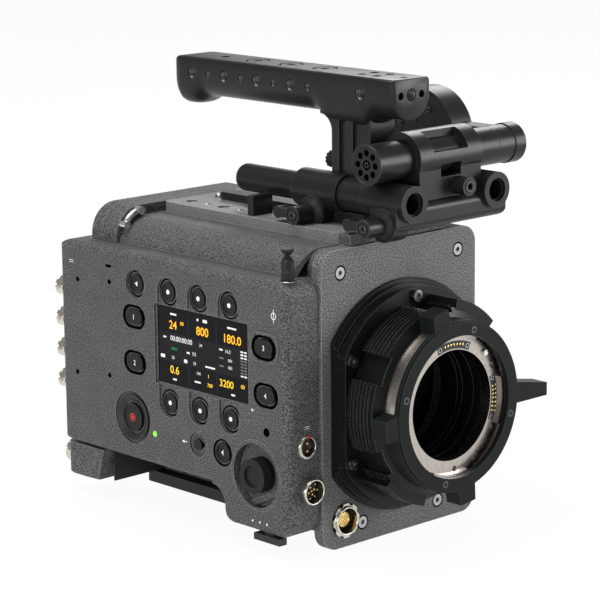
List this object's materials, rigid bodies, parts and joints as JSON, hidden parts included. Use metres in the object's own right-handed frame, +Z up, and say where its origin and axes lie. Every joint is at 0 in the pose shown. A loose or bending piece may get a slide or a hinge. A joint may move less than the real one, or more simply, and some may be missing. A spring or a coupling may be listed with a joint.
{
  "type": "digital cinema camera",
  "caption": "Box-shaped digital cinema camera body with a positive-lock lens mount, side control panel with display, top handle and sliding viewfinder bracket.",
  "frame": {"origin": "centre of the large tripod thread in the underside of the base", "axes": "+Z up, -Y the way the lens looks, +X towards the operator side, away from the control panel"},
  "size_m": [0.1537, 0.2164, 0.2234],
  "materials": {
    "body_paint": "fine textured dark grey paint",
    "plate_paint": "fine textured grey paint, slightly lighter",
    "panel_paint": "fine textured dark grey paint",
    "black_metal": "satin black anodised",
    "black_plastic": "matt black moulded plastic",
    "key_plastic": "matt black keys",
    "red_plastic": "matt red",
    "mount_alloy": "satin dark anodised",
    "steel": "satin steel",
    "bright_steel": "polished",
    "screw_steel": "bright steel screws",
    "connector_steel": "satin nickel",
    "glass": "dark glass",
    "board": "green circuit board",
    "silicon": "sensor under cover glass",
    "raw_alloy": "plain aluminium"
  },
  "bodies": {
    "camera_body": {"front_plate": "plate_paint", "main_frame": "body_paint", "rear_frame": "body_paint", "bottom_plate": "black_metal", "shoulder_cover": "plate_paint", "top_plate": "plate_paint", "operator_cover": "body_paint", "remote_block": "body_paint", "battery_plate": "black_plastic", "control_panel": "panel_paint", "display_window": "glass", "display_module": "black_plastic", "circuit_boards": "board", "tape_hook": "steel", "strap_bar": "bright_steel", "mount_foot": "mount_alloy", "mount_barrel": "mount_alloy", "lens_flange": "steel", "contact_blocks": "black_plastic", "locating_pin": "bright_steel", "cap_screws": "screw_steel", "image_sensor": "silicon", "sensor_carrier": "raw_alloy", "heat_sink": "raw_alloy", "coax_connectors": "connector_steel", "round_connectors": "connector_steel", "connector_inserts": "black_plastic", "handle": "black_metal", "handle_base": "black_metal", "accessory_rail": "black_metal"},
    "lock_ring": {"lock_ring": "mount_alloy", "ring_screws": "black_metal"},
    "slide_bracket": {"slide_bracket": "black_metal", "slide_rod": "black_metal"},
    "battery_latch": {"battery_latch": "red_plastic"},
    "media_door": {"media_door": "body_paint"},
    "key_top_1": {"key_top_1": "key_plastic"},
    "key_top_2": {"key_top_2": "key_plastic"},
    "key_top_3": {"key_top_3": "key_plastic"},
    "key_low_1": {"key_low_1": "key_plastic"},
    "key_low_2": {"key_low_2": "key_plastic"},
    "key_low_3": {"key_low_3": "key_plastic"},
    "key_assign": {"key_assign": "key_plastic"},
    "key_back": {"key_back": "key_plastic"},
    "key_rear_1": {"key_rear_1": "key_plastic"},
    "key_rear_2": {"key_rear_2": "key_plastic"},
    "key_front_1": {"key_front_1": "key_plastic"},
    "key_front_2": {"key_front_2": "key_plastic"},
    "record_key": {"record_key": "key_plastic"},
    "lock_slider": {"lock_slider": "key_plastic"},
    "menu_dial": {"menu_dial": "black_plastic"},
    "input_selector": {"input_selector": "black_plastic"},
    "filter_wheel": {"filter_wheel": "raw_alloy"},
    "fan_rotor": {"fan_rotor": "black_plastic"},
    "handle_knob": {"handle_knob": "black_metal"},
    "cross_tube": {"cross_tube": "black_metal"},
    "swing_arm": {"swing_arm": "black_metal"},
    "clamp_lever_rear": {"clamp_lever_rear": "black_metal"},
    "clamp_lever_front": {"clamp_lever_front": "black_metal"},
    "clamp_screw": {"clamp_screw": "black_metal"}
  },
  "joints": [
    {"name": "key_top_1_press", "type": "slide", "parent": "camera_body", "child": "key_top_1", "axis": [1, 0, 0], "range_m": [0, 0.0007], "stiffness_N_per_m": 1500},
    {"name": "key_top_2_press", "type": "slide", "parent": "camera_body", "child": "key_top_2", "axis": [1, 0, 0], "range_m": [0, 0.0007], "stiffness_N_per_m": 1500},
    {"name": "key_top_3_press", "type": "slide", "parent": "camera_body", "child": "key_top_3", "axis": [1, 0, 0], "range_m": [0, 0.0007], "stiffness_N_per_m": 1500},
    {"name": "key_low_1_press", "type": "slide", "parent": "camera_body", "child": "key_low_1", "axis": [1, 0, 0], "range_m": [0, 0.0007], "stiffness_N_per_m": 1500},
    {"name": "key_low_2_press", "type": "slide", "parent": "camera_body", "child": "key_low_2", "axis": [1, 0, 0], "range_m": [0, 0.0007], "stiffness_N_per_m": 1500},
    {"name": "key_low_3_press", "type": "slide", "parent": "camera_body", "child": "key_low_3", "axis": [1, 0, 0], "range_m": [0, 0.0007], "stiffness_N_per_m": 1500},
    {"name": "key_assign_press", "type": "slide", "parent": "camera_body", "child": "key_assign", "axis": [1, 0, 0], "range_m": [0, 0.0007], "stiffness_N_per_m": 1500},
    {"name": "key_back_press", "type": "slide", "parent": "camera_body", "child": "key_back", "axis": [1, 0, 0], "range_m": [0, 0.0007], "stiffness_N_per_m": 1500},
    {"name": "key_rear_1_press", "type": "slide", "parent": "camera_body", "child": "key_rear_1", "axis": [1, 0, 0], "range_m": [0, 0.0007], "stiffness_N_per_m": 1500},
    {"name": "key_rear_2_press", "type": "slide", "parent": "camera_body", "child": "key_rear_2", "axis": [1, 0, 0], "range_m": [0, 0.0007], "stiffness_N_per_m": 1500},
    {"name": "key_front_1_press", "type": "slide", "parent": "camera_body", "child": "key_front_1", "axis": [1, 0, 0], "range_m": [0, 0.0007], "stiffness_N_per_m": 1500},
    {"name": "key_front_2_press", "type": "slide", "parent": "camera_body", "child": "key_front_2", "axis": [1, 0, 0], "range_m": [0, 0.0007], "stiffness_N_per_m": 1500},
    {"name": "record_key_press", "type": "slide", "parent": "camera_body", "child": "record_key", "axis": [1, 0, 0], "range_m": [0, 0.0007], "stiffness_N_per_m": 1500},
    {"name": "lock_slide", "type": "slide", "parent": "camera_body", "child": "lock_slider", "axis": [0, -1, 0], "range_m": [0, 0.0024]},
    {"name": "input_select", "type": "slide", "parent": "camera_body", "child": "input_selector", "axis": [0, 1, 0], "range_m": [0, 0.015]},
    {"name": "battery_release", "type": "slide", "parent": "camera_body", "child": "battery_latch", "axis": [0, 0, -1], "range_m": [0, 0.0045], "stiffness_N_per_m": 400},
    {"name": "menu_turn", "type": "hinge", "parent": "camera_body", "child": "menu_dial", "pos_m": [-0.074, -0.0367, 0.0383], "axis": [1, 0, 0], "continuous": true},
    {"name": "mount_lock", "type": "hinge", "parent": "camera_body", "child": "lock_ring", "pos_m": [0, -0.097, 0.0694], "axis": [0, -1, 0], "range_deg": [0, 45]},
    {"name": "filter_turn", "type": "hinge", "parent": "camera_body", "child": "filter_wheel", "pos_m": [0, -0.048, 0.0954], "axis": [0, 1, 0], "continuous": true},
    {"name": "fan_spin", "type": "hinge", "parent": "camera_body", "child": "fan_rotor", "pos_m": [0, -0.015, 0.0784], "axis": [0, 1, 0], "continuous": true},
    {"name": "media_door_swing", "type": "hinge", "parent": "camera_body", "child": "media_door", "pos_m": [0.0592, 0.0875, 0.0564], "axis": [0, 0, 1], "range_deg": [0, 90]},
    {"name": "handle_knob_turn", "type": "hinge", "parent": "camera_body", "child": "handle_knob", "pos_m": [0, -0.02, 0.1794], "axis": [0, 1, 0], "continuous": true},
    {"name": "bracket_slide", "type": "slide", "parent": "camera_body", "child": "slide_bracket", "axis": [0, -1, 0], "range_m": [0, 0.04]},
    {"name": "cross_slide", "type": "slide", "parent": "slide_bracket", "child": "cross_tube", "axis": [1, 0, 0], "range_m": [0, 0.02]},
    {"name": "arm_swing", "type": "hinge", "parent": "cross_tube", "child": "swing_arm", "pos_m": [0.063, -0.062, 0.1843], "axis": [1, 0, 0], "range_deg": [-20, 100]},
    {"name": "rear_lever_turn", "type": "hinge", "parent": "camera_body", "child": "clamp_lever_rear", "pos_m": [-0.028, -0.0205, 0.1563], "axis": [1, 0, 0], "range_deg": [0, 90]},
    {"name": "front_lever_turn", "type": "hinge", "parent": "slide_bracket", "child": "clamp_lever_front", "pos_m": [-0.028, -0.0687, 0.1558], "axis": [1, 0, 0], "range_deg": [0, 90]},
    {"name": "clamp_screw_turn", "type": "hinge", "parent": "slide_bracket", "child": "clamp_screw", "pos_m": [0.025, -0.078, 0.1704], "axis": [0, 1, 0], "continuous": true}
  ]
}
